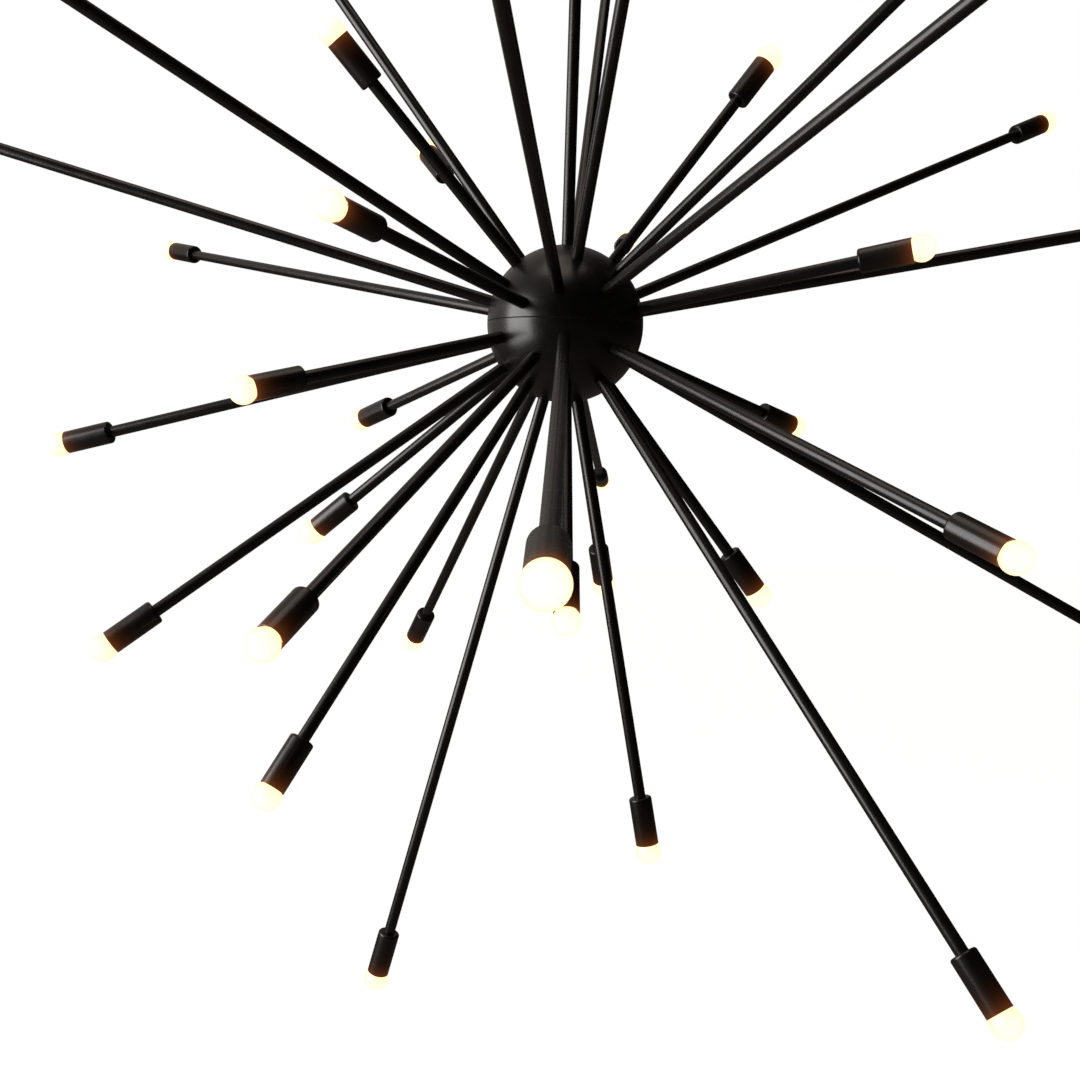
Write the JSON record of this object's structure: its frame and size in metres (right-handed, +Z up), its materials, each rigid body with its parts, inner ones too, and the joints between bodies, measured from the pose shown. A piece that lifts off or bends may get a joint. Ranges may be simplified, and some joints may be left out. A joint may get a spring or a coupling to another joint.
{
  "type": "sputnik chandelier",
  "caption": "Ceiling chandelier: a round black hub on a stem, with thin straight arms of three lengths radiating all round, each ending in a cup with a small frosted globe lamp.",
  "frame": {"origin": "on the ceiling, in the middle of the crossbar, on the nipple's axis", "axes": "+Z up, into the ceiling; -Y towards the viewer, the side the picture shows; +X to the viewer's right, along the crossbar and the swivel's pivot"},
  "size_m": [1.5821, 1.5815, 1.5949],
  "materials": {
    "black_paint": "satin",
    "opal_glass": "frosted",
    "lamp_cap_nickel": "satin",
    "holder_ceramic": "satin",
    "brass_parts": "satin",
    "zinc_steel": "satin",
    "black_screws": "satin",
    "earth_green": "gloss",
    "lead_sleeve": "matte",
    "splice_wrap": "matte"
  },
  "bodies": {
    "ceiling_plate": {"crossbar": "zinc_steel", "earth_screw": "earth_green", "ceiling_nipple": "zinc_steel", "nipple_lock_washer": "zinc_steel", "nipple_locknuts": "zinc_steel"},
    "canopy": {"canopy": "black_paint"},
    "collar": {"canopy_collar": "black_paint"},
    "swivel": {"swivel_yoke": "black_paint", "swivel_pivot_screws": "black_screws"},
    "fixture": {"swivel_knuckle": "black_paint", "stem_nipple": "zinc_steel", "stem_upper": "black_paint", "stem_coupling": "zinc_steel", "stem_lower": "black_paint", "main_lead": "lead_sleeve", "hub_rod": "zinc_steel", "hub_rod_washer": "zinc_steel", "hub_rod_nut": "brass_parts", "hub_cap_nut": "black_paint", "splice_bundle": "splice_wrap", "hub_upper": "black_paint", "hub_lower": "black_paint", "short_arm_tubes": "black_paint", "short_arm_studs": "zinc_steel", "short_arm_washers": "zinc_steel", "short_arm_nuts": "brass_parts", "short_arm_cups": "black_paint", "short_cup_nipples": "zinc_steel", "short_lampholders": "holder_ceramic", "short_screw_shells": "brass_parts", "short_centre_contacts": "brass_parts", "short_lamp_bases": "lamp_cap_nickel", "short_lamp_globes": "opal_glass", "short_lamp_leads": "lead_sleeve", "medium_arm_tubes": "black_paint", "medium_arm_studs": "zinc_steel", "medium_arm_washers": "zinc_steel", "medium_arm_nuts": "brass_parts", "medium_arm_cups": "black_paint", "medium_cup_nipples": "zinc_steel", "medium_lampholders": "holder_ceramic", "medium_screw_shells": "brass_parts", "medium_centre_contacts": "brass_parts", "medium_lamp_bases": "lamp_cap_nickel", "medium_lamp_globes": "opal_glass", "medium_lamp_leads": "lead_sleeve", "long_arm_tubes": "black_paint", "long_arm_studs": "zinc_steel", "long_arm_washers": "zinc_steel", "long_arm_nuts": "brass_parts", "long_arm_cups": "black_paint", "long_cup_nipples": "zinc_steel", "long_lampholders": "holder_ceramic", "long_screw_shells": "brass_parts", "long_centre_contacts": "brass_parts", "long_lamp_bases": "lamp_cap_nickel", "long_lamp_globes": "opal_glass", "long_lamp_leads": "lead_sleeve"}
  },
  "joints": [
    {"name": "canopy_drop", "type": "slide", "parent": "ceiling_plate", "child": "canopy", "axis": [0, 0, -1], "range_m": [0, 0.006]},
    {"name": "collar_turn", "type": "hinge", "parent": "canopy", "child": "collar", "pos_m": [0, 0, -0.037], "axis": [0, 0, -1], "range_deg": [0, 2160]},
    {"name": "swivel_turn", "type": "hinge", "parent": "ceiling_plate", "child": "swivel", "pos_m": [0, 0, -0.077], "axis": [0, 0, 1], "range_deg": [-170, 170]},
    {"name": "swivel_tilt", "type": "hinge", "parent": "swivel", "child": "fixture", "pos_m": [0, 0, -0.077], "axis": [1, 0, 0], "range_deg": [-25, 25]}
  ],
  "couplings": [
    {"joint": "canopy_drop", "follows": "collar_turn", "m_per_rad": 0.00015915}
  ]
}
